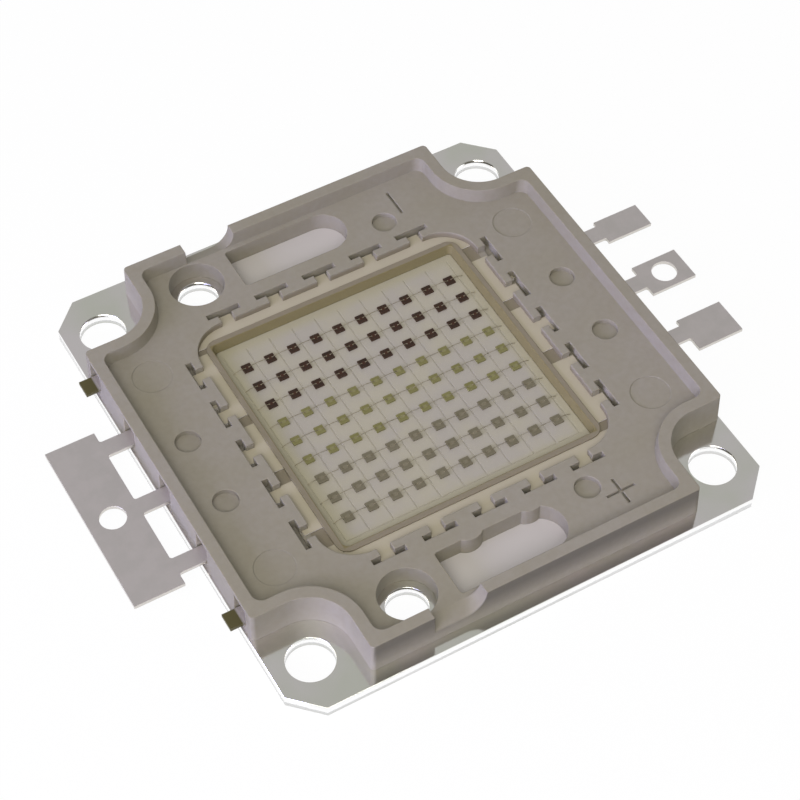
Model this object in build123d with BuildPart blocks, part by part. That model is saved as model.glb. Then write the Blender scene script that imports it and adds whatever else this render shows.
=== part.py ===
"""Three-colour power LED module: a silver-plated copper base with four eared corners, a moulded
frame with a recessed floor, stamped leads, and a square window with ninety dies under clear gel.

Millimetres. X runs across the leads, Y along the die columns, Z up from the underside of the base.
"""

from build123d import *
from math import radians, tan
import os

os.makedirs("parts", exist_ok=True)

# Base plate
plate_half_x = 19.9
plate_half_y = 21.2
plate_thickness = 1.0
ear_chamfer = 2.2
ear_hole_inset_x = 2.9
ear_hole_inset_y = 4.1
ear_hole_diameter = 3.65
screw_hole_x = -8.95
screw_hole_inset = 4.6
screw_hole_diameter = 3.2
edge_notch_x = -7.75
edge_notch_width = 2.5
edge_notch_depth = 0.35

# Moulded frame, outside
frame_height = 3.8
frame_setback_x = 0.1
frame_setback_y = 1.2
frame_draft = 1.5
ear_clearance = 3.35
frame_corner_radius = 0.35
cut_overshoot = 0.2

# Moulded frame, recess and rim
floor_level = 2.6
rim_width = 0.95
recess_draft = 7.0
recess_corner_radius = 0.8
screw_clearance_diameter = 4.4
notch_start_x = -8.65
notch_end_x = -4.43
notch_level = 2.0
slot_start_x = -5.6
slot_end_x = 4.2
slot_border_gap = 1.2
slot_rim_gap = 0.4
slot_corner_radius = 0.3
slot_nub_radius = 1.4
slot_nub_reach = 0.35
slot_nub_xs = (-2.4, 2.7)
dimple_diameter = 2.0
dimple_depth = 0.45
side_dimple_inset = 3.4
side_dimple_y = 3.1
end_dimple_x = 7.1
end_dimple_inset = 4.9
ejector_diameter = 3.1
ejector_depth = 0.05
ejector_inset = 3.8
ejector_y = 10.0
mark_depth = 0.3
mark_width = 0.22
mark_inset = 3.45
minus_x = 8.85
minus_length = 2.5
plus_x = 9.05
plus_length = 2.4

# Window, ring and castellated border
window_margin = 1.75
window_draft = 14.0
window_corner_radius = 0.5
ring_width = 0.45
ring_level = 2.15
ring_corner_radius = 1.0
channel_width = 1.0
channel_level = 1.9
channel_corner_radius = 3.0
crenel_pitch = 4.2
crenel_count = 5
neck_width = 1.15
neck_length = 0.65
head_length = 2.8
head_width = 0.5
head_level = 1.7

# Stamped leads
lead_level = 1.7
lead_thickness = 0.3
lead_reach = 6.2
leg_width = 1.4
leg_y = 6.0
lead_fillet = 0.2
lug_length = 4.0
lug_shoulder = 1.0
lug_hole_diameter = 2.05
lug_hole_inset = 1.95
pad_ring_grip = 0.25
pad_floor_grip = 0.5
tab_reach = 0.3
left_pad_spans = ((10.4, 3.8), (2.65, -2.15), (-3.5, -8.25))
right_pad_spans = ((8.4, 3.75), (2.5, -2.25), (-3.6, -10.1))
right_lug_spans = ((7.15, 4.8), (1.55, -1.55), (-4.75, -7.95))
strip_wrap_end = 10.0
stub_y = 12.0
stub_left_reach = 1.15
stub_right_reach = 0.35
pocket_width = 1.7
pocket_depth = 0.5
pocket_top_gap = 0.3

# Circuit sheet, dies and wires
sheet_clearance = 0.03
sheet_thickness = 0.35
groove_width = 0.1
groove_depth = 0.04
groove_column_offset = 0.86
groove_row_offset = 1.85
groove_margin = 0.5
die_pitch = 2.0
die_columns = 10
rows_per_colour = 3
die_thickness = 0.15
red_die_side = 0.76
green_die_side = 0.72
blue_die_side = 0.8
wire_width = 0.05
wire_thickness = 0.05
wire_rise = 0.12
wire_foot = 0.16
wire_end_reach = 1.2
gel_level = 2.05

# Places worked out from the sizes above
ear_hole_x = plate_half_x - ear_hole_inset_x
ear_hole_y = plate_half_y - ear_hole_inset_y
screw_hole_y = plate_half_y - screw_hole_inset
cut_edge_x = ear_hole_x - ear_clearance
cut_edge_y = ear_hole_y - ear_clearance
frame_half_x = plate_half_x - frame_setback_x
frame_half_y = plate_half_y - frame_setback_y
draft_run = (frame_height - plate_thickness) * tan(radians(frame_draft))
recess_run = (frame_height - floor_level) * tan(radians(recess_draft))
recess_end_y = frame_half_y - rim_width - recess_run
column_xs = [(i - (die_columns - 1) / 2) * die_pitch for i in range(die_columns)]
row_count = 3 * rows_per_colour
row_ys = [((row_count - 1) / 2 - i) * die_pitch for i in range(row_count)]
window_half = column_xs[-1] + window_margin
window_slope = tan(radians(window_draft))
ring_outer = window_half + ring_width
channel_half = ring_outer + channel_width
crenel_places = [(i - (crenel_count - 1) / 2) * crenel_pitch for i in range(crenel_count)]
head_place = channel_half + neck_length + head_width / 2
slot_inner_y = head_place + head_width / 2 + slot_border_gap
slot_width = recess_end_y - slot_rim_gap - slot_inner_y
lead_top = lead_level + lead_thickness
lead_end = frame_half_x + lead_reach
lug_inner_x = lead_end - lug_length
lug_hole_x = lead_end - lug_hole_inset
lug_half_y = leg_y + leg_width / 2 + lug_shoulder
pad_inner = ring_outer - pad_ring_grip
pad_outer = channel_half + pad_floor_grip
tab_end = channel_half + neck_length + tab_reach
sheet_top = plate_thickness + sheet_thickness
sheet_seat_half = window_half - (ring_level - sheet_top) * window_slope
sheet_half = sheet_seat_half - sheet_clearance
seat_corner_radius = window_corner_radius - (ring_level - sheet_top) * window_slope
die_top = sheet_top + die_thickness


def span_rectangle(x_low, x_high, y_low, y_high):
    """A rectangle between two corners, added to the sketch that is open."""
    with Locations(((x_low + x_high) / 2, (y_low + y_high) / 2)):
        Rectangle(x_high - x_low, y_high - y_low)


def cross_outline(inset, corner_radius):
    """The frame's top outline moved inwards: a rectangle whose corners are hollowed round the ear holes."""
    half_x = frame_half_x - inset
    half_y = frame_half_y - inset
    edge_x = cut_edge_x - inset
    edge_y = cut_edge_y - inset
    Rectangle(2 * half_x, 2 * edge_y)
    Rectangle(2 * edge_x, 2 * half_y)
    hollows = [v for v in vertices() if abs(v.X) < edge_x + 0.01 and abs(v.Y) < edge_y + 0.01]
    fillet(hollows, radius=ear_clearance + inset)
    tips = [v for v in vertices() if abs(v.X) > half_x - 0.01 or abs(v.Y) > half_y - 0.01]
    fillet(tips, radius=corner_radius)


# Base plate: its corners stand clear of the frame as ears, and its front edge has a small cut
with BuildPart() as base_plate:
    with BuildSketch():
        Rectangle(2 * plate_half_x, 2 * plate_half_y)
        chamfer(vertices(), length=ear_chamfer)
        with Locations((edge_notch_x, -plate_half_y)):
            Rectangle(edge_notch_width, 2 * edge_notch_depth, mode=Mode.SUBTRACT)
        with GridLocations(2 * ear_hole_x, 2 * ear_hole_y, 2, 2):
            Circle(ear_hole_diameter / 2, mode=Mode.SUBTRACT)
        with Locations((screw_hole_x, screw_hole_y), (screw_hole_x, -screw_hole_y)):
            Circle(screw_hole_diameter / 2, mode=Mode.SUBTRACT)
    extrude(amount=plate_thickness)
base_plate.part.label = "base_plate"


# Common lead: one lug, three legs and three pads stamped from one strip
def tab_places(y_high, y_low):
    """Crenels whose neck falls on a pad that spans y_low to y_high."""
    return [place for place in crenel_places if y_low < place < y_high]


with BuildPart() as common_lead:
    with BuildSketch(Plane.XY.offset(lead_level)):
        span_rectangle(-lead_end, -lug_inner_x, -lug_half_y, lug_half_y)
        for leg in (-leg_y, 0, leg_y):
            span_rectangle(-lead_end, -pad_inner, leg - leg_width / 2, leg + leg_width / 2)
        shoulders = [v for v in vertices() if abs(v.X + lug_inner_x) < 0.01 and abs(v.Y) < lug_half_y - 0.01]
        fillet(shoulders, radius=lead_fillet)
        for y_high, y_low in left_pad_spans:
            span_rectangle(-pad_outer, -pad_inner, y_low, y_high)
            for place in tab_places(y_high, y_low):
                span_rectangle(-tab_end, -pad_inner, place - neck_width / 2, place + neck_width / 2)
        with Locations((-lug_hole_x, 0)):
            Circle(lug_hole_diameter / 2, mode=Mode.SUBTRACT)
    extrude(amount=lead_thickness)
common_lead.part.label = "common_lead"

# Three separate leads, one for each colour
right_leads = []
right_names = ("red_lead", "green_lead", "blue_lead")
for name, leg, pad_span, lug_span in zip(right_names, (leg_y, 0, -leg_y), right_pad_spans, right_lug_spans):
    with BuildPart() as right_lead:
        with BuildSketch(Plane.XY.offset(lead_level)):
            span_rectangle(lug_inner_x, lead_end, lug_span[1], lug_span[0])
            span_rectangle(pad_inner, lead_end, leg - leg_width / 2, leg + leg_width / 2)
            shoulders = [v for v in vertices() if abs(v.X - lug_inner_x) < 0.01]
            fillet([v for v in shoulders if abs(v.Y - leg) < leg_width / 2 + 0.01], radius=lead_fillet)
            span_rectangle(pad_inner, pad_outer, pad_span[1], pad_span[0])
            for place in tab_places(*pad_span):
                span_rectangle(pad_inner, tab_end, place - neck_width / 2, place + neck_width / 2)
            if leg == 0:
                with Locations((lug_hole_x, 0)):
                    Circle(lug_hole_diameter / 2, mode=Mode.SUBTRACT)
        extrude(amount=lead_thickness)
    right_lead.part.label = name
    right_leads.append(right_lead.part)

# Support strips at the back and front, with the cut ends of their tie bars
support_strips = []
for name, side in (("back_strip", 1), ("front_strip", -1)):
    with BuildPart() as strip:
        with BuildSketch(Plane.XY.offset(lead_level)):
            bar = sorted((side * pad_inner, side * pad_outer))
            span_rectangle(-pad_outer, pad_outer, *bar)
            wrap = sorted((side * strip_wrap_end, side * pad_outer))
            span_rectangle(*bar, *wrap)
            left_end = -frame_half_x - stub_left_reach
            right_end = frame_half_x + stub_right_reach
            span_rectangle(left_end, right_end, side * stub_y - leg_width / 2, side * stub_y + leg_width / 2)
            for place in crenel_places:
                tab = sorted((side * pad_inner, side * tab_end))
                span_rectangle(place - neck_width / 2, place + neck_width / 2, *tab)
        extrude(amount=lead_thickness)
    strip.part.label = name
    support_strips.append(strip.part)

lead_parts = [common_lead.part] + right_leads + support_strips

# Moulded frame
with BuildPart() as housing:
    # Wall above the base plate, hollowed round the four ears
    with BuildSketch(Plane.XY.offset(plate_thickness)):
        cross_outline(-draft_run, frame_corner_radius)
    with BuildSketch(Plane.XY.offset(frame_height)):
        cross_outline(0, frame_corner_radius)
    loft(ruled=True)

    # Recessed floor inside the rim
    with BuildSketch(Plane.XY.offset(floor_level)):
        cross_outline(rim_width + recess_run, recess_corner_radius)
    with BuildSketch(Plane.XY.offset(frame_height)):
        cross_outline(rim_width, recess_corner_radius)
    loft(ruled=True, mode=Mode.SUBTRACT)

    # Screw clearances, and the notches whose floor slopes down from the recess out through the rim
    with Locations((screw_hole_x, screw_hole_y, frame_height), (screw_hole_x, -screw_hole_y, frame_height)):
        Hole(screw_clearance_diameter / 2, depth=frame_height - plate_thickness)
    notch_top = frame_height + cut_overshoot
    for side in (-1, 1):
        for end_y, level in ((recess_end_y, floor_level), (frame_half_y + draft_run, notch_level)):
            notch_round = frame_height - level
            with BuildSketch(Plane.XZ.offset(-side * end_y)):
                with BuildLine():
                    Polyline(
                        (notch_end_x, frame_height),
                        (notch_end_x, notch_top),
                        (notch_start_x, notch_top),
                        (notch_start_x, level),
                        (notch_end_x - notch_round, level),
                    )
                    CenterArc((notch_end_x - notch_round, frame_height), notch_round, -90, 90)
                make_face()
        loft(ruled=True, mode=Mode.SUBTRACT)

    # Long slots down to the base plate, square at one end and round at the other
    for side in (-1, 1):
        slot_centre_y = side * (slot_inner_y + slot_width / 2)
        slot_sides = sorted((side * slot_inner_y, side * (slot_inner_y + slot_width)))
        with BuildSketch(Plane.XY.offset(plate_thickness)):
            round_x = slot_end_x - slot_width / 2
            span_rectangle(slot_start_x, round_x, *slot_sides)
            fillet(vertices().group_by(Axis.X)[0], radius=slot_corner_radius)
            with Locations((round_x, slot_centre_y)):
                Circle(slot_width / 2)
            if side < 0:
                nub_y = -slot_inner_y + slot_nub_radius - slot_nub_reach
                with Locations(*[(nub_x, nub_y) for nub_x in slot_nub_xs]):
                    Circle(slot_nub_radius, mode=Mode.SUBTRACT)
        extrude(amount=floor_level + cut_overshoot - plate_thickness, mode=Mode.SUBTRACT)

    # Round dimples, ejector pin marks and polarity marks in the floor
    with BuildSketch(Plane.XY.offset(floor_level)):
        with GridLocations(2 * (frame_half_x - side_dimple_inset), 2 * side_dimple_y, 2, 2):
            Circle(dimple_diameter / 2)
        end_dimple_y = frame_half_y - end_dimple_inset
        with Locations((end_dimple_x, -end_dimple_y), (end_dimple_x, end_dimple_y)):
            Circle(dimple_diameter / 2)
    extrude(amount=-dimple_depth, mode=Mode.SUBTRACT)
    with BuildSketch(Plane.XY.offset(floor_level)):
        with GridLocations(2 * (frame_half_x - ejector_inset), 2 * ejector_y, 2, 2):
            Circle(ejector_diameter / 2)
    extrude(amount=-ejector_depth, mode=Mode.SUBTRACT)
    with BuildSketch(Plane.XY.offset(floor_level)):
        with Locations((minus_x, frame_half_y - mark_inset)):
            Rectangle(mark_width, minus_length)
        with Locations((plus_x, -frame_half_y + mark_inset)):
            Rectangle(mark_width, plus_length)
            Rectangle(plus_length, mark_width)
    extrude(amount=-mark_depth, mode=Mode.SUBTRACT)

    # Step down to the ring round the window
    with BuildSketch(Plane.XY.offset(ring_level)):
        RectangleRounded(2 * channel_half, 2 * channel_half, channel_corner_radius)
    extrude(amount=floor_level + cut_overshoot - ring_level, mode=Mode.SUBTRACT)

    # Channel between the ring and the border, with a neck at each crenel
    with BuildSketch(Plane.XY.offset(channel_level)):
        RectangleRounded(2 * channel_half, 2 * channel_half, channel_corner_radius)
        for place in crenel_places:
            reach = channel_half + neck_length + head_width / 2
            with Locations((place, 0)):
                Rectangle(neck_width, 2 * reach)
            with Locations((0, place)):
                Rectangle(2 * reach, neck_width)
        RectangleRounded(2 * ring_outer, 2 * ring_outer, ring_corner_radius, mode=Mode.SUBTRACT)
    extrude(amount=floor_level + cut_overshoot - channel_level, mode=Mode.SUBTRACT)

    # Deep heads of the T-shaped crenels
    with BuildSketch(Plane.XY.offset(head_level)):
        for place in crenel_places:
            with Locations((place, head_place), (place, -head_place)):
                Rectangle(head_length, head_width)
            with Locations((head_place, place), (-head_place, place)):
                Rectangle(head_width, head_length)
    extrude(amount=floor_level + cut_overshoot - head_level, mode=Mode.SUBTRACT)

    # Window with sloping sides, and below it the straight seat of the circuit sheet
    with BuildSketch(Plane.XY.offset(ring_level)):
        RectangleRounded(2 * window_half, 2 * window_half, window_corner_radius)
    extrude(amount=-(ring_level - sheet_top), taper=window_draft, mode=Mode.SUBTRACT)
    with BuildSketch(Plane.XY.offset(plate_thickness)):
        RectangleRounded(2 * sheet_seat_half, 2 * sheet_seat_half, seat_corner_radius)
    extrude(amount=sheet_thickness, mode=Mode.SUBTRACT)

    # Wedge-shaped relief in the side wall above each leg
    pocket_planes = [Plane.XZ.offset(pocket_width / 2 - y) for y in (-stub_y, -leg_y, 0, leg_y, stub_y)]
    for side in (-1, 1):
        outside = side * (frame_half_x + draft_run + cut_overshoot)
        pocket_floor = side * (frame_half_x + draft_run - pocket_depth)
        pocket_top = frame_height - pocket_top_gap
        with BuildSketch(*pocket_planes):
            with BuildLine():
                Polyline(
                    (outside, lead_level),
                    (pocket_floor, lead_level),
                    (pocket_floor, lead_top),
                    (side * frame_half_x, pocket_top),
                    (outside, pocket_top),
                    close=True,
                )
            make_face()
        extrude(amount=-pocket_width, mode=Mode.SUBTRACT)

    # Seats of the stamped leads
    add(lead_parts, mode=Mode.SUBTRACT)
housing.part.label = "housing"

# Circuit sheet on the window floor, grooved between the die columns
with BuildPart() as circuit_sheet:
    with BuildSketch(Plane.XY.offset(plate_thickness)):
        RectangleRounded(2 * sheet_half, 2 * sheet_half, seat_corner_radius)
    extrude(amount=sheet_thickness)
    with BuildSketch(Plane.XY.offset(sheet_top)):
        grid_end = -row_ys[-1] + groove_row_offset
        for column_x in [column_xs[0] - die_pitch] + column_xs:
            with Locations((column_x + groove_column_offset, 0)):
                Rectangle(groove_width, 2 * grid_end)
        with Locations((0, -grid_end)):
            Rectangle(2 * (sheet_half - groove_margin), groove_width)
    extrude(amount=-groove_depth, mode=Mode.SUBTRACT)
circuit_sheet.part.label = "circuit_sheet"

# Dies and their wires, one node for each row
row_parts = []
die_kinds = (("red", red_die_side), ("green", green_die_side), ("blue", blue_die_side))
for kind_index, (colour, die_side) in enumerate(die_kinds):
    for colour_row in range(1, rows_per_colour + 1):
        row_y = row_ys[kind_index * rows_per_colour + colour_row - 1]
        with BuildPart() as dies:
            with BuildSketch(Plane.XY.offset(sheet_top)):
                with Locations(*[(x, row_y) for x in column_xs]):
                    Rectangle(die_side, die_side)
            extrude(amount=die_thickness)
        dies.part.label = f"{colour}_dies_row_{colour_row}"
        row_parts.append(dies.part)

        # Each wire is a low peak from die to die, and the two end ones drop to the sheet
        with BuildPart() as wires:
            with BuildSketch(Plane.XZ.offset(-row_y - wire_width / 2)):
                starts = [column_xs[0] - wire_end_reach] + column_xs
                ends = column_xs + [column_xs[-1] + wire_end_reach]
                for index, (start, end) in enumerate(zip(starts, ends)):
                    first_z = sheet_top if index == 0 else die_top
                    last_z = sheet_top if index == len(column_xs) else die_top
                    first_x = start if index == 0 else start + wire_foot
                    last_x = end if index == len(column_xs) else end - wire_foot
                    middle = (first_x + last_x) / 2
                    crest = die_top + wire_rise
                    with BuildLine():
                        Polyline(
                            (first_x, first_z),
                            (middle, crest),
                            (last_x, last_z),
                            (middle, crest - wire_thickness),
                            close=True,
                        )
                    make_face()
            extrude(amount=wire_width)
        wires.part.label = f"{colour}_wires_row_{colour_row}"
        row_parts.append(wires.part)

# Clear gel that fills the window over the sheet, the dies and the wires
with BuildPart() as gel_fill:
    gel_run = (ring_level - gel_level) * window_slope
    gel_side = 2 * (window_half - gel_run)
    with BuildSketch(Plane.XY.offset(gel_level)):
        RectangleRounded(gel_side, gel_side, window_corner_radius - gel_run)
    extrude(amount=-(gel_level - sheet_top), taper=window_draft)
    add(row_parts, mode=Mode.SUBTRACT)
gel_fill.part.label = "gel_fill"

for part in [base_plate.part, housing.part, circuit_sheet.part, gel_fill.part] + lead_parts + row_parts:
    export_step(part, f"parts/{part.label}.step")
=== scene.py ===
import math

import bmesh
import bpy
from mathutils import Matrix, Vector


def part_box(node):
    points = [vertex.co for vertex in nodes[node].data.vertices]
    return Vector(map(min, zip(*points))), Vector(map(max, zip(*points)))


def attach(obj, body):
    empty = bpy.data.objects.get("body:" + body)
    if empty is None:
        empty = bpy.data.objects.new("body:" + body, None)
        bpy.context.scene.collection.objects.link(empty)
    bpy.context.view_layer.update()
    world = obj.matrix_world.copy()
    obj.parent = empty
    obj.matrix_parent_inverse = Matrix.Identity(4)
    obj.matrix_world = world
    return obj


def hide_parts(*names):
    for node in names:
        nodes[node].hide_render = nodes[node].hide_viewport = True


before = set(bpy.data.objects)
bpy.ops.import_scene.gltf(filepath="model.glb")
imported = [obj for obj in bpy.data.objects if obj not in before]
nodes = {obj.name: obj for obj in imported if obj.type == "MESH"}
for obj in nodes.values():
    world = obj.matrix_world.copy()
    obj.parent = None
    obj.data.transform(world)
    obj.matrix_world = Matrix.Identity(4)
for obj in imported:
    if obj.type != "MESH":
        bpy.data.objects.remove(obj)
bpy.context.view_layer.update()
scene = bpy.context.scene
mm = 0.001
noiseRange = (0.3, 0.7)  # what a noise pattern mostly stays within
print("packed model loaded:", len(nodes), "nodes")


# Colours and nodes

def hexColour(code):
    # sRGB hex to linear
    channels = [int(code[i:i + 2], 16) / 255 for i in (1, 3, 5)]
    linear = [c / 12.92 if c <= 0.04045 else ((c + 0.055) / 1.055) ** 2.4 for c in channels]
    return (*linear, 1.0)


def addNode(tree, kind, settings=None, values=None, stops=()):
    # a value is a constant, a socket or a node, whose first output in use then feeds the input
    node = tree.nodes.new(kind)
    for name, setting in (settings or {}).items():
        setattr(node, name, setting)
    for key, value in (values or {}).items():
        if isinstance(key, int):
            socket = node.inputs[key]
        else:
            socket = next(item for item in node.inputs if item.enabled and item.name == key)
        if isinstance(value, bpy.types.Node):
            value = next(item for item in value.outputs if item.enabled)
        if isinstance(value, bpy.types.NodeSocket):
            tree.links.new(value, socket)
        else:
            socket.default_value = value
    # a ramp starts with two stops
    for i, (position, code) in enumerate(stops):
        stop = node.color_ramp.elements[i] if i < 2 else node.color_ramp.elements.new(position)
        stop.position = position
        stop.color = hexColour(code)
    return node


def newMaterial(name):
    material = bpy.data.materials.new(name)
    material.use_nodes = True
    material.node_tree.nodes.clear()
    return material, material.node_tree


def patternSpace(tree):
    # Object coordinates in millimetres, so each pattern's scale is one over its real size
    place = addNode(tree, "ShaderNodeTexCoord").outputs["Object"]
    return addNode(tree, "ShaderNodeVectorMath", {"operation": "SCALE"}, {0: place, "Scale": 1 / mm})


def softEdges(tree, radiusMm, height=None, strength=0.1, distanceMm=0.02):
    # moulded and stamped edges are slightly round, so light catches on them
    normal = addNode(tree, "ShaderNodeBevel", {"samples": 4}, {"Radius": radiusMm * mm})
    if height is None:
        return normal
    return addNode(tree, "ShaderNodeBump", None, {
        "Strength": strength, "Distance": distanceMm * mm, "Height": height, "Normal": normal})


def boxMask(tree, space, halfX, halfY, softMm):
    # one inside a rectangle round the middle of the object, zero outside
    parts = addNode(tree, "ShaderNodeSeparateXYZ", None, {"Vector": space}).outputs
    inside = 1.0
    for axis, half in (("X", halfX), ("Y", halfY)):
        away = addNode(tree, "ShaderNodeMath", {"operation": "ABSOLUTE"}, {0: parts[axis]})
        within = addNode(tree, "ShaderNodeMapRange", None, {
            "Value": away, "From Min": half - softMm / 2, "From Max": half + softMm / 2,
            "To Min": 1.0, "To Max": 0.0})
        inside = addNode(tree, "ShaderNodeMath", {"operation": "MULTIPLY"}, {0: inside, 1: within})
    return inside


def facingUp(tree, sheared=0.4, level=0.8):
    # one on level faces, zero on the sheared sides, by the upward share of their normals
    normal = addNode(tree, "ShaderNodeNewGeometry").outputs["Normal"]
    upward = addNode(tree, "ShaderNodeSeparateXYZ", None, {"Vector": normal}).outputs["Z"]
    share = addNode(tree, "ShaderNodeMath", {"operation": "ABSOLUTE"}, {0: upward})
    return addNode(tree, "ShaderNodeMapRange", None, {"Value": share, "From Min": sheared, "From Max": level})


# Moulded polyphthalamide: matte, slightly translucent grey white, with a faint flow mottle and
# spark-eroded grain. The gel has crept over the ring round the window and yellows the window's
# sloping sides. The front wall carries a painted shade, darker towards its rim.
framePlastic = {
    "tones": [(0.36, "#938E7F"), (0.64, "#969186")],
    "mottle": {"Scale": 1 / 7.0, "Detail": 3.0, "Roughness": 0.55},
    "deep": "#878172",
    "deepShare": 0.35,
    "speck": {"Scale": 1 / 0.5, "Detail": 4.0, "Roughness": 0.55},
    "speckRange": (0.35, 0.75),
    "stains": [
        {"halfMm": 12.25, "colour": "#857D6B"},  # the ring
        {"halfMm": 10.8, "colour": "#7C7350"},  # the sloping sides
    ],
    "stainedBelowMm": 2.4,
    "stainSoftMm": 0.1,
    # painted shade on the front wall, darkest at its rim
    "frontPaintedShade": "#57534C",
    "paintedShadeShare": 0.65,
    "frontWallMm": -20.0,
    "frontDepthMm": 0.06,
    "paintedShadeFromMm": 1.5,
    "paintedShadeToMm": 3.1,
    "grain": {"Scale": 1 / 0.12, "Detail": 2.0, "Roughness": 0.55},  # real grain is finer and wouldn't show
    "grainStrength": 0.25,
    "grainDepthMm": 0.01,
    "edgeMm": 0.1,
    "roughness": (0.56, 0.68),
    "specular": 0.35,
    "subsurface": 0.3,
    "subsurfaceMm": 0.5,
    "subsurfaceRadius": (1.0, 0.9, 0.75),
}


def mouldedPlastic():
    p = framePlastic
    material, tree = newMaterial("mouldedPolyphthalamide")
    space = patternSpace(tree)
    mottle = addNode(tree, "ShaderNodeTexNoise", None, {"Vector": space, **p["mottle"]})
    colour = addNode(tree, "ShaderNodeValToRGB", None, {"Fac": mottle}, p["tones"])
    speck = addNode(tree, "ShaderNodeTexNoise", None, {"Vector": space, **p["speck"]})
    lowest, highest = p["speckRange"]
    speck = addNode(tree, "ShaderNodeMapRange", None, {
        "Value": speck, "From Min": lowest, "From Max": highest, "To Max": p["deepShare"]})
    colour = addNode(tree, "ShaderNodeMix", {"data_type": "RGBA"}, {
        "Factor": speck, "A": colour, "B": hexColour(p["deep"])})

    # painted shade: the front wall is darkened towards its rim
    parts = addNode(tree, "ShaderNodeSeparateXYZ", None, {"Vector": space}).outputs
    front = addNode(tree, "ShaderNodeMapRange", None, {
        "Value": parts["Y"], "From Min": p["frontWallMm"], "From Max": p["frontWallMm"] + p["frontDepthMm"],
        "To Min": p["paintedShadeShare"], "To Max": 0.0})
    upper = addNode(tree, "ShaderNodeMapRange", None, {
        "Value": parts["Z"], "From Min": p["paintedShadeFromMm"], "From Max": p["paintedShadeToMm"]})
    shadeMask = addNode(tree, "ShaderNodeMath", {"operation": "MULTIPLY"}, {0: front, 1: upper})
    colour = addNode(tree, "ShaderNodeMix", {"data_type": "RGBA"}, {
        "Factor": shadeMask, "A": colour, "B": hexColour(p["frontPaintedShade"])})

    # the stains round and in the window
    soft = p["stainSoftMm"]
    low = addNode(tree, "ShaderNodeMapRange", None, {
        "Value": parts["Z"], "From Min": p["stainedBelowMm"] - soft, "From Max": p["stainedBelowMm"] + soft,
        "To Min": 1.0, "To Max": 0.0})
    for stain in p["stains"]:
        zone = boxMask(tree, space, stain["halfMm"], stain["halfMm"], soft)
        zone = addNode(tree, "ShaderNodeMath", {"operation": "MULTIPLY"}, {0: low, 1: zone})
        colour = addNode(tree, "ShaderNodeMix", {"data_type": "RGBA"}, {
            "Factor": zone, "A": colour, "B": hexColour(stain["colour"])})

    roughness = addNode(tree, "ShaderNodeMapRange", None, {
        "Value": mottle, "From Min": noiseRange[0], "From Max": noiseRange[1],
        "To Min": p["roughness"][0], "To Max": p["roughness"][1]})
    grain = addNode(tree, "ShaderNodeTexNoise", None, {"Vector": space, **p["grain"]})
    shader = addNode(tree, "ShaderNodeBsdfPrincipled", None, {
        "Base Color": colour,
        "Roughness": roughness,
        "Specular IOR Level": p["specular"],
        "Subsurface Weight": p["subsurface"],
        "Subsurface Radius": p["subsurfaceRadius"],
        "Subsurface Scale": p["subsurfaceMm"] * mm,
        "Normal": softEdges(tree, p["edgeMm"], grain, p["grainStrength"], p["grainDepthMm"]),
    })
    addNode(tree, "ShaderNodeOutputMaterial", None, {"Surface": shader})
    return material


# Silver plating on rolled copper. The ears are a near mirror, so the frame's walls show in them. Where
# the frame stood open over the plate it was blasted matte. The sheared sides are bright silver, raised
# to pure white by their facing: partly the plating's own colour, partly painted brightness.
basePlating = {
    "tones": [(0.4, "#E8EAE0"), (0.6, "#F3EFF0")],
    "patch": {"Scale": 1 / 9.0, "Detail": 3.0, "Roughness": 0.55},
    "matte": "#CBC7C2",
    "matteHalfMm": (6.2, 19.4),
    "mattedTo": 0.55,
    # pure white on the sheared sides: partly real silver, partly painted brightness
    "sheared": "#FFFFFF",
    "rolling": {"Scale": 1 / 0.25, "Detail": 2.0, "Roughness": 0.55},
    "roughness": 0.08,
}

# Plated strip of the leads: satin outside the frame, and flat and warmer on the pads inside it
leadPlating = {
    "tones": [(0.4, "#D6D1CF"), (0.6, "#DDD7D6")],
    "patch": {"Scale": 1 / 2.0, "Detail": 3.0, "Roughness": 0.55},
    "matte": "#B7B09B",
    "matteHalfMm": (14.5, 14.5),
    "mattedTo": 0.4,
    "sheared": "#D8D4CE",
    "rolling": {"Scale": 1 / 0.3, "Detail": 2.0, "Roughness": 0.55},
    "roughness": 0.42,
}

# What both platings have, and the bare olive brown of the tie bars' cut ends outside the frame
platingGrain = {
    "matteSoftMm": 0.3,
    "matteMetallic": 0.25,
    "patchRoughness": 0.05,
    "rollingStretch": (1.0, 0.04, 1.0),
    "rollingStrength": 0.06,
    "rollingDepthMm": 0.004,
    "edgeMm": 0.06,
}
tieTarnish = {
    "colour": "#56512F",
    "bareToMm": -20.0,
    "platedFromMm": -19.8,
    "bareMetallic": 0.3,
}


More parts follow.
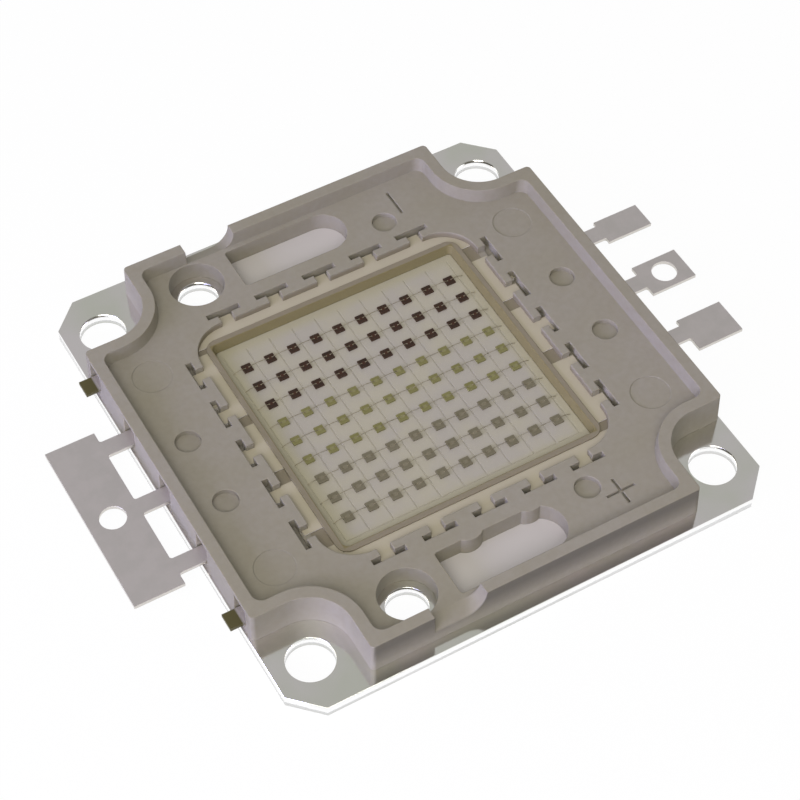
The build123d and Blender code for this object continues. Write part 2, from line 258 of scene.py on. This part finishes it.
def silverPlating(name, p, tarnish=None):
    g = platingGrain
    material, tree = newMaterial(name)
    space = patternSpace(tree)
    patch = addNode(tree, "ShaderNodeTexNoise", None, {"Vector": space, **p["patch"]})
    colour = addNode(tree, "ShaderNodeValToRGB", None, {"Fac": patch}, p["tones"])
    matted = boxMask(tree, space, *p["matteHalfMm"], g["matteSoftMm"])
    colour = addNode(tree, "ShaderNodeMix", {"data_type": "RGBA"}, {
        "Factor": matted, "A": colour, "B": hexColour(p["matte"])})
    # the sheared sides take their own colour by facing; on the base plate it is partly painted brightness
    colour = addNode(tree, "ShaderNodeMix", {"data_type": "RGBA"}, {
        "Factor": facingUp(tree), "A": hexColour(p["sheared"]), "B": colour})
    metallic = addNode(tree, "ShaderNodeMapRange", None, {
        "Value": matted, "To Min": 1.0, "To Max": g["matteMetallic"]})
    if tarnish:
        across = addNode(tree, "ShaderNodeSeparateXYZ", None, {"Vector": space}).outputs["X"]
        plated = addNode(tree, "ShaderNodeMapRange", None, {
            "Value": across, "From Min": tarnish["bareToMm"], "From Max": tarnish["platedFromMm"]})
        colour = addNode(tree, "ShaderNodeMix", {"data_type": "RGBA"}, {
            "Factor": plated, "A": hexColour(tarnish["colour"]), "B": colour})
        kept = addNode(tree, "ShaderNodeMapRange", None, {"Value": plated, "To Min": tarnish["bareMetallic"]})
        metallic = addNode(tree, "ShaderNodeMath", {"operation": "MULTIPLY"}, {0: metallic, 1: kept})
    polish = addNode(tree, "ShaderNodeMapRange", None, {
        "Value": patch, "From Min": noiseRange[0], "From Max": noiseRange[1],
        "To Min": p["roughness"] + g["patchRoughness"], "To Max": p["roughness"]})
    roughness = addNode(tree, "ShaderNodeMath", {"operation": "MULTIPLY_ADD"}, {
        0: matted, 1: p["mattedTo"], 2: polish})
    stretched = addNode(tree, "ShaderNodeVectorMath", {"operation": "MULTIPLY"}, {
        0: space, 1: g["rollingStretch"]})
    rolling = addNode(tree, "ShaderNodeTexNoise", None, {"Vector": stretched, **p["rolling"]})
    shader = addNode(tree, "ShaderNodeBsdfPrincipled", None, {
        "Base Color": colour,
        "Metallic": metallic,
        "Roughness": roughness,
        "Normal": softEdges(tree, g["edgeMm"], rolling, g["rollingStrength"], g["rollingDepthMm"]),
    })
    addNode(tree, "ShaderNodeOutputMaterial", None, {"Surface": shader})
    return material


# Circuit sheet: smooth pale plating seen through the gel, yellower at its margin
circuitFinish = {
    "tones": [(0.38, "#B3AE9C"), (0.62, "#AFAAA0")],
    "mottle": {"Scale": 1 / 3.5, "Detail": 3.0, "Roughness": 0.55},
    "margin": "#B0AB93",
    "marginHalfMm": 9.7,
    "marginSoftMm": 0.7,
    "edgeMm": 0.05,
    "metallic": 0.2,
    "roughness": 0.5,
}


def platedCircuit():
    p = circuitFinish
    material, tree = newMaterial("platedCircuit")
    space = patternSpace(tree)
    mottle = addNode(tree, "ShaderNodeTexNoise", None, {"Vector": space, **p["mottle"]})
    field = addNode(tree, "ShaderNodeValToRGB", None, {"Fac": mottle}, p["tones"])
    inner = boxMask(tree, space, p["marginHalfMm"], p["marginHalfMm"], p["marginSoftMm"])
    colour = addNode(tree, "ShaderNodeMix", {"data_type": "RGBA"}, {
        "Factor": inner, "A": hexColour(p["margin"]), "B": field})
    shader = addNode(tree, "ShaderNodeBsdfPrincipled", None, {
        "Base Color": colour,
        "Metallic": p["metallic"],
        "Roughness": p["roughness"],
        "Normal": softEdges(tree, p["edgeMm"]),
    })
    addNode(tree, "ShaderNodeOutputMaterial", None, {"Surface": shader})
    return material


# Dies: polished semiconductor, with a paler contact in the middle of each and a paler rim
diePitch = 2.0
dieFinishes = {
    "red": {"body": "#24120A", "edge": "#3D2417", "contact": "#43200F", "sideMm": 0.76},
    "green": {"body": "#726F42", "edge": "#7F7D52", "contact": "#8A8860", "sideMm": 0.72},
    "blue": {"body": "#6A6551", "edge": "#777260", "contact": "#827C68", "sideMm": 0.8},
}
dieZones = {
    "towardDie": {"X": 51.0, "Y": 50.0},  # columns stand at odd places and rows at even ones, in mm
    "rim": (0.36, 0.48),  # shares of the side, measured from the middle
    "rimShare": 0.6,
    "contact": (0.16, 0.22),
    "contactShare": 0.5,
    "toneShare": 0.35,
    "cellMm": (diePitch, diePitch, 5.0),
    "roughness": 0.4,
    "specular": 0.12,
}


def dieSurface(colourName):
    p, z = dieFinishes[colourName], dieZones
    material, tree = newMaterial(colourName + "Die")
    space = patternSpace(tree)
    parts = addNode(tree, "ShaderNodeSeparateXYZ", None, {"Vector": space}).outputs
    far = 0.0  # distance from the middle of the nearest die
    for axis, shift in z["towardDie"].items():
        moved = addNode(tree, "ShaderNodeMath", {"operation": "ADD"}, {0: parts[axis], 1: shift})
        away = addNode(tree, "ShaderNodeMath", {"operation": "PINGPONG"}, {0: moved, 1: diePitch / 2})
        far = addNode(tree, "ShaderNodeMath", {"operation": "MAXIMUM"}, {0: far, 1: away})

    # each die has its own tone
    cell = addNode(tree, "ShaderNodeVectorMath", {"operation": "SNAP"}, {0: space, 1: z["cellMm"]})
    tone = addNode(tree, "ShaderNodeTexWhiteNoise", None, {"Vector": cell})
    tone = addNode(tree, "ShaderNodeMath", {"operation": "MULTIPLY"}, {0: tone, 1: z["toneShare"]})
    rim = addNode(tree, "ShaderNodeMapRange", None, {
        "Value": far, "From Min": p["sideMm"] * z["rim"][0], "From Max": p["sideMm"] * z["rim"][1],
        "To Max": z["rimShare"]})
    contact = addNode(tree, "ShaderNodeMapRange", None, {
        "Value": far, "From Min": p["sideMm"] * z["contact"][0], "From Max": p["sideMm"] * z["contact"][1],
        "To Min": z["contactShare"], "To Max": 0.0})
    colour = hexColour(p["body"])
    for share, part in ((tone, "edge"), (rim, "edge"), (contact, "contact")):
        colour = addNode(tree, "ShaderNodeMix", {"data_type": "RGBA"}, {
            "Factor": share, "A": colour, "B": hexColour(p[part])})
    shader = addNode(tree, "ShaderNodeBsdfPrincipled", None, {
        "Base Color": colour,
        "Roughness": z["roughness"],
        "Specular IOR Level": z["specular"],
    })
    addNode(tree, "ShaderNodeOutputMaterial", None, {"Surface": shader})
    return material


# Bond wire: fine gold alloy, which looks brown grey at this size
bondWireFinish = {
    "tones": [(0.4, "#827961"), (0.6, "#9A917A")],
    "mottle": {"Scale": 1 / 0.6, "Detail": 3.0, "Roughness": 0.55},
    "metallic": 0.6,
    "roughness": 0.35,
}


def bondWireMetal():
    p = bondWireFinish
    material, tree = newMaterial("bondWireGold")
    mottle = addNode(tree, "ShaderNodeTexNoise", None, {"Vector": patternSpace(tree), **p["mottle"]})
    colour = addNode(tree, "ShaderNodeValToRGB", None, {"Fac": mottle}, p["tones"])
    shader = addNode(tree, "ShaderNodeBsdfPrincipled", None, {
        "Base Color": colour,
        "Metallic": p["metallic"],
        "Roughness": p["roughness"],
    })
    addNode(tree, "ShaderNodeOutputMaterial", None, {"Surface": shader})
    return material


# Clear silicone gel: nearly all see-through, with a faint straw tint and a slightly uneven top
gelFinish = {
    "tint": "#C9C4AE",
    "alpha": 0.03,
    "ior": 1.41,
    "roughness": 0.12,
    "ripple": {"Scale": 1 / 6.0, "Detail": 1.0, "Roughness": 0.55},
    "rippleStrength": 0.1,
    "rippleDepthMm": 0.05,
}


def clearGel():
    p = gelFinish
    material, tree = newMaterial("clearSilicone")
    ripple = addNode(tree, "ShaderNodeTexNoise", None, {"Vector": patternSpace(tree), **p["ripple"]})
    uneven = addNode(tree, "ShaderNodeBump", None, {
        "Strength": p["rippleStrength"], "Distance": p["rippleDepthMm"] * mm, "Height": ripple})
    shader = addNode(tree, "ShaderNodeBsdfPrincipled", None, {
        "Base Color": hexColour(p["tint"]),
        "Roughness": p["roughness"],
        "IOR": p["ior"],
        "Alpha": p["alpha"],
        "Normal": uneven,
    })
    addNode(tree, "ShaderNodeOutputMaterial", None, {"Surface": shader})
    return material


plasticMaterial = mouldedPlastic()
baseMaterial = silverPlating("silverPlatedCopper", basePlating)
leadMaterial = silverPlating("platedLeadStrip", leadPlating)
tieMaterial = silverPlating("tarnishedTieStrip", leadPlating, tieTarnish)
circuitMaterial = platedCircuit()
wireMaterial = bondWireMetal()
gelMaterial = clearGel()
print("materials ready")


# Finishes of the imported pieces

def dress(name, material):
    mesh = nodes[name].data
    mesh.materials.clear()
    mesh.materials.append(material)


dress("housing", plasticMaterial)
dress("circuit_sheet", circuitMaterial)
for leadName in ("common_lead", "red_lead", "green_lead", "blue_lead"):
    dress(leadName, leadMaterial)
for stripName in ("back_strip", "front_strip"):
    dress(stripName, tieMaterial)
for colourName in dieFinishes:
    dieMaterial = dieSurface(colourName)
    for rowNumber in (1, 2, 3):
        dress(f"{colourName}_dies_row_{rowNumber}", dieMaterial)
print("packed pieces dressed")


# Base plate: an eared octagon with four corner holes and two screw holes, its front edge whole
plateShape = {
    "halfXMm": 20.0,
    "halfYMm": 21.1,
    "chamferMm": 2.2,
    "earHoles": {"xMm": 17.0, "yMm": 17.1, "radiusMm": 1.825},
    "screwHoles": {"xMm": -8.95, "yMm": 16.6, "radiusMm": 1.6},
    "circleSteps": 72,
    "mergeMm": 0.001,
}


def plateOutlines():
    p = plateShape
    x, y, cut = p["halfXMm"], p["halfYMm"], p["chamferMm"]
    quarter = [(x, y - cut), (x - cut, y)]
    top = quarter + [(-a, b) for a, b in reversed(quarter)]
    loops = [top + [(-a, -b) for a, b in top]]
    ears, screws = p["earHoles"], p["screwHoles"]
    holes = [(sideX * ears["xMm"], sideY * ears["yMm"], ears["radiusMm"])
             for sideX in (-1, 1) for sideY in (-1, 1)]
    holes += [(screws["xMm"], side * screws["yMm"], screws["radiusMm"]) for side in (-1, 1)]
    turns = [2 * math.pi * i / p["circleSteps"] for i in range(p["circleSteps"])]
    for centreX, centreY, radius in holes:
        loops.append([(centreX + radius * math.cos(t), centreY + radius * math.sin(t)) for t in turns])
    return loops


def platePiece():
    low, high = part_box("base_plate")
    curve = bpy.data.curves.new("plateOutline", "CURVE")
    curve.dimensions = "2D"
    curve.fill_mode = "BOTH"
    curve.extrude = (high.z - low.z) / 2
    for loop in plateOutlines():
        spline = curve.splines.new("POLY")
        spline.points.add(len(loop) - 1)
        for point, (x, y) in zip(spline.points, loop):
            point.co = (x * mm, y * mm, 0.0, 1.0)
        spline.use_cyclic_u = True
    holder = bpy.data.objects.new("plateHolder", curve)
    scene.collection.objects.link(holder)
    bpy.context.view_layer.update()
    mesh = bpy.data.meshes.new_from_object(holder.evaluated_get(bpy.context.evaluated_depsgraph_get()))
    bpy.data.objects.remove(holder)
    shape = bmesh.new()
    shape.from_mesh(mesh)
    bmesh.ops.translate(shape, verts=shape.verts, vec=(0, 0, (low.z + high.z) / 2))
    bmesh.ops.remove_doubles(shape, verts=shape.verts, dist=plateShape["mergeMm"] * mm)
    bmesh.ops.recalc_face_normals(shape, faces=shape.faces)
    shape.to_mesh(mesh)
    shape.free()
    mesh.name = "earedBasePlate"
    mesh.materials.clear()
    mesh.materials.append(baseMaterial)
    piece = bpy.data.objects.new("earedBasePlate", mesh)
    scene.collection.objects.link(piece)
    return piece


basePlate = platePiece()
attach(basePlate, "root")
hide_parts("base_plate")
print("base plate cut")


# Bond wires: a round arch from die to die, repeated along each row
wireSizes = {
    "diesPerRow": 10,
    "radiusMm": 0.022,
    "bedded": 0.6,  # the wire's middle stands this share of its radius over the dies
    "riseMm": 0.1,
    "footMm": 0.16,
    "ballRadiusMm": 0.05,
    "ballFlatness": 0.45,
    "ballRounds": 2,
    "archSteps": 8,
    "roundSteps": 6,
}


def wireArch(tree, start, rise, end, radius):
    # the curve's middle point is half way along, lifted by twice the rise
    middle = addNode(tree, "ShaderNodeVectorMath", {"operation": "ADD"}, {0: start, 1: end})
    middle = addNode(tree, "ShaderNodeVectorMath", {"operation": "SCALE"}, {0: middle, "Scale": 0.5})
    middle = addNode(tree, "ShaderNodeVectorMath", {"operation": "ADD"}, {0: middle, 1: rise})
    arch = addNode(tree, "GeometryNodeCurveQuadraticBezier", None, {
        "Resolution": wireSizes["archSteps"], "Start": start, "Middle": middle, "End": end})
    profile = addNode(tree, "GeometryNodeCurvePrimitiveCircle", None, {
        "Resolution": wireSizes["roundSteps"], "Radius": radius})
    return addNode(tree, "GeometryNodeCurveToMesh", None, {
        "Curve": arch, "Profile Curve": profile, "Fill Caps": True})


def joinedPieces(tree, pieces):
    joined = addNode(tree, "GeometryNodeJoinGeometry")
    for piece in pieces:
        tree.links.new(piece.outputs[0], joined.inputs[0])
    return joined


def wireRowTree():
    tree = bpy.data.node_groups.new("bondWireRow", "GeometryNodeTree")
    inputs = {
        "NodeSocketVector": ("First Die",),
        "NodeSocketInt": ("Dies",),
        "NodeSocketFloat": ("Pitch", "Foot", "Rise", "Wire Radius", "Ball Radius", "End Reach", "End Drop"),
        "NodeSocketMaterial": ("Material",),
    }
    for kind, names in inputs.items():
        for name in names:
            tree.interface.new_socket(name, in_out="INPUT", socket_type=kind)
    tree.interface.new_socket("Geometry", in_out="OUTPUT", socket_type="NodeSocketGeometry")
    given = addNode(tree, "NodeGroupInput").outputs
    firstDie, radius = given["First Die"], given["Wire Radius"]

    # along the row: the way from die to die, and from a die's middle to the foot of its wires
    pitch = addNode(tree, "ShaderNodeCombineXYZ", None, {"X": given["Pitch"]})
    foot = addNode(tree, "ShaderNodeCombineXYZ", None, {"X": given["Foot"]})
    footBack = addNode(tree, "ShaderNodeVectorMath", {"operation": "SCALE"}, {0: foot, "Scale": -1.0})
    rise = addNode(tree, "ShaderNodeMath", {"operation": "MULTIPLY"}, {0: given["Rise"], 1: 2.0})
    rise = addNode(tree, "ShaderNodeCombineXYZ", None, {"Z": rise})

    # an arch over each gap
    archEnd = addNode(tree, "ShaderNodeVectorMath", {"operation": "SUBTRACT"}, {0: pitch, 1: foot})
    arch = wireArch(tree, foot, rise, archEnd, radius)
    gapCount = addNode(tree, "ShaderNodeMath", {"operation": "SUBTRACT"}, {0: given["Dies"], 1: 1.0})
    gapPlaces = addNode(tree, "GeometryNodeMeshLine", None, {
        "Count": gapCount, "Start Location": firstDie, "Offset": pitch})
    arches = addNode(tree, "GeometryNodeInstanceOnPoints", None, {"Points": gapPlaces, "Instance": arch})

    # two flattened balls on each die
    ball = addNode(tree, "GeometryNodeMeshIcoSphere", None, {
        "Radius": given["Ball Radius"], "Subdivisions": wireSizes["ballRounds"]})
    ball = addNode(tree, "GeometryNodeTransform", None, {
        "Geometry": ball, "Scale": (1.0, 1.0, wireSizes["ballFlatness"])})
    pair = joinedPieces(tree, [
        addNode(tree, "GeometryNodeTransform", None, {"Geometry": ball, "Translation": place})
        for place in (footBack, foot)])
    diePlaces = addNode(tree, "GeometryNodeMeshLine", None, {
        "Count": given["Dies"], "Start Location": firstDie, "Offset": pitch})
    balls = addNode(tree, "GeometryNodeInstanceOnPoints", None, {"Points": diePlaces, "Instance": pair})

    # the end wires drop to the sheet
    lowered = addNode(tree, "ShaderNodeMath", {"operation": "MULTIPLY"}, {0: given["End Drop"], 1: -1.0})
    rightEnd = addNode(tree, "ShaderNodeCombineXYZ", None, {"X": given["End Reach"], "Z": lowered})
    leftEnd = addNode(tree, "ShaderNodeVectorMath", {"operation": "MULTIPLY"}, {
        0: rightEnd, 1: (-1.0, 1.0, 1.0)})
    span = addNode(tree, "ShaderNodeVectorMath", {"operation": "SCALE"}, {0: pitch, "Scale": gapCount})
    lastDie = addNode(tree, "ShaderNodeVectorMath", {"operation": "ADD"}, {0: firstDie, 1: span})
    leftWire = addNode(tree, "GeometryNodeTransform", None, {
        "Geometry": wireArch(tree, footBack, rise, leftEnd, radius), "Translation": firstDie})
    rightWire = addNode(tree, "GeometryNodeTransform", None, {
        "Geometry": wireArch(tree, foot, rise, rightEnd, radius), "Translation": lastDie})

    whole = joinedPieces(tree, [arches, balls, leftWire, rightWire])
    real = addNode(tree, "GeometryNodeRealizeInstances", None, {"Geometry": whole})
    coated = addNode(tree, "GeometryNodeSetMaterial", None, {
        "Geometry": real, "Material": given["Material"]})
    addNode(tree, "NodeGroupOutput", None, {"Geometry": coated})
    return tree


def growPiece(name, tree, inputs):
    # runs a tree once and keeps its result as a plain mesh
    holder = bpy.data.objects.new(name + "Grower", bpy.data.meshes.new(name + "Seed"))
    scene.collection.objects.link(holder)
    modifier = holder.modifiers.new("grow", "NODES")
    modifier.node_group = tree
    identifiers = {item.name: item.identifier for item in tree.interface.items_tree if item.in_out == "INPUT"}
    for key, value in inputs.items():
        modifier[identifiers[key]] = value
    bpy.context.view_layer.update()
    mesh = bpy.data.meshes.new_from_object(holder.evaluated_get(bpy.context.evaluated_depsgraph_get()))
    mesh.name = name
    holder.modifiers.remove(modifier)
    bpy.data.objects.remove(holder)
    piece = bpy.data.objects.new(name, mesh)
    scene.collection.objects.link(piece)
    return piece


wireTree = wireRowTree()
wireLift = wireSizes["radiusMm"] * wireSizes["bedded"] * mm
for colourName in dieFinishes:
    for rowNumber in (1, 2, 3):
        dieLow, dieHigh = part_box(f"{colourName}_dies_row_{rowNumber}")
        wireNode = f"{colourName}_wires_row_{rowNumber}"
        wireLow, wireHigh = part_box(wireNode)
        halfDie = (dieHigh.y - dieLow.y) / 2
        firstDie = Vector((dieLow.x + halfDie, (dieLow.y + dieHigh.y) / 2, dieHigh.z + wireLift))
        piece = growPiece(f"{colourName}BondWires{rowNumber}", wireTree, {
            "First Die": firstDie,
            "Pitch": diePitch * mm,
            "Dies": wireSizes["diesPerRow"],
            "Foot": wireSizes["footMm"] * mm,
            "Rise": wireSizes["riseMm"] * mm,
            "Wire Radius": wireSizes["radiusMm"] * mm,
            "Ball Radius": wireSizes["ballRadiusMm"] * mm,
            "End Reach": firstDie.x - wireLow.x,
            "End Drop": dieHigh.z - dieLow.z,
            "Material": wireMaterial,
        })
        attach(piece, "root")
        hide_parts(wireNode)
print("bond wires made")


# Gel: fills the window and creeps up its sides, so its top dips slightly in the middle
gelShape = {
    "dipMm": 0.06,
    "creepMm": 0.06,
    "creepWidthMm": 0.9,
    "sinkMm": 0.02,  # its sides run this far into the plastic, so no two faces lie in one plane
    "liftMm": 0.05,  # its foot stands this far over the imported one's
    "draftDegrees": 14,
    "cells": 48,
    "smoothAbove": 0.7,
}


def gelPiece():
    p = gelShape
    low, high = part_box("gel_fill")
    half = high.x + p["sinkMm"] * mm
    topLevel = high.z
    bottomLevel = low.z + p["liftMm"] * mm
    cells = p["cells"]
    shape = bmesh.new()

    # rows of points, closer together near the edges
    places = [math.sin((2 * i / cells - 1) * math.pi / 2) for i in range(cells + 1)]
    grid = []
    for v in places:
        line = []
        for u in places:
            toEdge = (1 - max(abs(u), abs(v))) * half / mm
            creep = math.exp(-toEdge / (p["creepWidthMm"] / 2)) * p["creepMm"]
            line.append(shape.verts.new((u * half, v * half, topLevel + (creep - p["dipMm"]) * mm)))
        grid.append(line)
    for j in range(cells):
        for i in range(cells):
            shape.faces.new((grid[j][i], grid[j][i + 1], grid[j + 1][i + 1], grid[j + 1][i]))

    # drafted sides down to a flat foot
    rimLoop = [grid[0][i] for i in range(cells)] + [grid[j][cells] for j in range(cells)]
    rimLoop += [grid[cells][i] for i in range(cells, 0, -1)] + [grid[j][0] for j in range(cells, 0, -1)]
    shrink = 1 - (topLevel - bottomLevel) * math.tan(math.radians(p["draftDegrees"])) / half
    foot = [shape.verts.new((v.co.x * shrink, v.co.y * shrink, bottomLevel)) for v in rimLoop]
    count = len(rimLoop)
    for i in range(count):
        shape.faces.new((rimLoop[i], foot[i], foot[(i + 1) % count], rimLoop[(i + 1) % count]))
    shape.faces.new(list(reversed(foot)))
    bmesh.ops.recalc_face_normals(shape, faces=shape.faces)
    mesh = bpy.data.meshes.new("windowGel")
    shape.to_mesh(mesh)
    shape.free()
    for face in mesh.polygons:
        face.use_smooth = face.normal.z > p["smoothAbove"]
    mesh.materials.append(gelMaterial)
    piece = bpy.data.objects.new("windowGel", mesh)
    scene.collection.objects.link(piece)
    return piece


gel = gelPiece()
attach(gel, "root")
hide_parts("gel_fill")
print("gel poured")


# Camera: the photo's own view, solved from the grid of dies
photoView = {
    "placeMm": (-51.6, -90.4, 133.7),
    "tiltDown": 38.04,
    "turn": -29.69,
    "lens": 99.5,
    "sensor": 36.0,
    "clipStartMm": 5,
}
camera = bpy.data.objects.new("photoCamera", bpy.data.cameras.new("photoCamera"))
camera.location = Vector(photoView["placeMm"]) * mm
camera.rotation_euler = (math.radians(photoView["tiltDown"]), 0.0, math.radians(photoView["turn"]))
camera.data.lens = photoView["lens"]
camera.data.sensor_width = photoView["sensor"]
camera.data.clip_start = photoView["clipStartMm"] * mm
scene.collection.objects.link(camera)
scene.camera = camera


# Studio: white floor and white surround, soft lamps in front and to the left
studio = {
    "floorSize": 3.0,
    "floorDropMm": 0.02,
    "paper": "#F2F2F2",
    "table": "#78766F",  # the floor lights the walls only as much as a grey table does
    "floorOwnLight": 0.96,
    "brightSide": (0.1, 0.45, 0.85),
    "skyTones": [(0.0, "#3C3A34"), (0.5, "#7A7872"), (0.8, "#A8A7A5"), (1.0, "#B4B3B2")],
    "worldStrength": 1.05,
    "backdropTop": (0.25, 0.45),  # how far up the white backdrop reaches before the grey ceiling
    "white": (1.0, 1.0, 1.0, 1.0),
}
softboxes = {
    "frontSoftbox": {"placeMm": (-180, -235, 345), "sizeMm": 300, "watts": 1.35, "colour": "#FFFAF4"},
    "leftSoftbox": {"placeMm": (-410, -105, 85), "sizeMm": 300, "watts": 2.65, "colour": "#CDCBFF"},
}


def studioFloor():
    mesh = bpy.data.meshes.new("floor")
    half = studio["floorSize"] / 2
    corners = [(-half, -half, 0), (half, -half, 0), (half, half, 0), (-half, half, 0)]
    mesh.from_pydata(corners, [], [(0, 1, 2, 3)])
    floor = bpy.data.objects.new("floor", mesh)
    floor.location.z = -studio["floorDropMm"] * mm
    material, tree = newMaterial("whitePaper")
    paths = addNode(tree, "ShaderNodeLightPath").outputs
    seen = addNode(tree, "ShaderNodeMath", {"operation": "MAXIMUM"}, {
        0: paths["Is Camera Ray"], 1: paths["Is Glossy Ray"]})
    seen = addNode(tree, "ShaderNodeMath", {"operation": "MAXIMUM"}, {
        0: seen, 1: paths["Is Transmission Ray"]})
    tone = addNode(tree, "ShaderNodeMix", {"data_type": "RGBA"}, {
        "Factor": seen, "A": hexColour(studio["table"]), "B": hexColour(studio["paper"])})
    paper = addNode(tree, "ShaderNodeBsdfDiffuse", None, {"Color": tone})
    glow = addNode(tree, "ShaderNodeEmission", None, {"Color": studio["white"], "Strength": 1.0})
    share = addNode(tree, "ShaderNodeMath", {"operation": "MULTIPLY"}, {0: seen, 1: studio["floorOwnLight"]})
    mixed = addNode(tree, "ShaderNodeMixShader", None, {0: share, 1: paper, 2: glow})
    addNode(tree, "ShaderNodeOutputMaterial", None, {"Surface": mixed})
    mesh.materials.append(material)
    scene.collection.objects.link(floor)


def studioWorld():
    world = bpy.data.worlds.new("whiteSurround")
    scene.world = world
    world.use_nodes = True
    tree = world.node_tree
    tree.nodes.clear()
    paths = addNode(tree, "ShaderNodeLightPath").outputs
    seen = addNode(tree, "ShaderNodeMath", {"operation": "MAXIMUM"}, {
        0: paths["Is Camera Ray"], 1: paths["Is Transmission Ray"]})

    # the room is grey, brighter overhead and behind, where the mirror-like plate shows it
    direction = addNode(tree, "ShaderNodeTexCoord").outputs["Generated"]
    side = Vector(studio["brightSide"]).normalized()
    toward = addNode(tree, "ShaderNodeVectorMath", {"operation": "DOT_PRODUCT"}, {0: direction, 1: side})
    toward = addNode(tree, "ShaderNodeMapRange", None, {"Value": toward, "From Min": -1.0, "From Max": 1.0})
    tone = addNode(tree, "ShaderNodeValToRGB", None, {"Fac": toward}, studio["skyTones"])

    # metal shows the white backdrop near the horizon and the grey ceiling above it
    upward = addNode(tree, "ShaderNodeSeparateXYZ", None, {"Vector": direction}).outputs["Z"]
    lowest, highest = studio["backdropTop"]
    backdrop = addNode(tree, "ShaderNodeMapRange", None, {
        "Value": upward, "From Min": lowest, "From Max": highest, "To Min": 1.0, "To Max": 0.0})
    mirrored = addNode(tree, "ShaderNodeMath", {"operation": "MULTIPLY"}, {
        0: paths["Is Glossy Ray"], 1: backdrop})
    seen = addNode(tree, "ShaderNodeMath", {"operation": "MAXIMUM"}, {0: seen, 1: mirrored})

    light = addNode(tree, "ShaderNodeBackground", None, {"Color": tone, "Strength": studio["worldStrength"]})
    white = addNode(tree, "ShaderNodeBackground", None, {"Color": studio["white"], "Strength": 1.0})
    mixed = addNode(tree, "ShaderNodeMixShader", None, {0: seen, 1: light, 2: white})
    addNode(tree, "ShaderNodeOutputWorld", None, {"Surface": mixed})


def softLamp(name, p):
    # a square soft lamp that points at the object
    data = bpy.data.lights.new(name, "AREA")
    data.shape = "SQUARE"
    data.size = p["sizeMm"] * mm
    data.energy = p["watts"]
    data.color = hexColour(p["colour"])[:3]
    lamp = bpy.data.objects.new(name, data)
    lamp.location = Vector(p["placeMm"]) * mm
    lamp.rotation_euler = (-lamp.location).to_track_quat("-Z", "Y").to_euler()
    scene.collection.objects.link(lamp)


studioFloor()
studioWorld()
for lampName, lampValues in softboxes.items():
    softLamp(lampName, lampValues)
scene.view_settings.view_transform = "Standard"
print("studio ready")
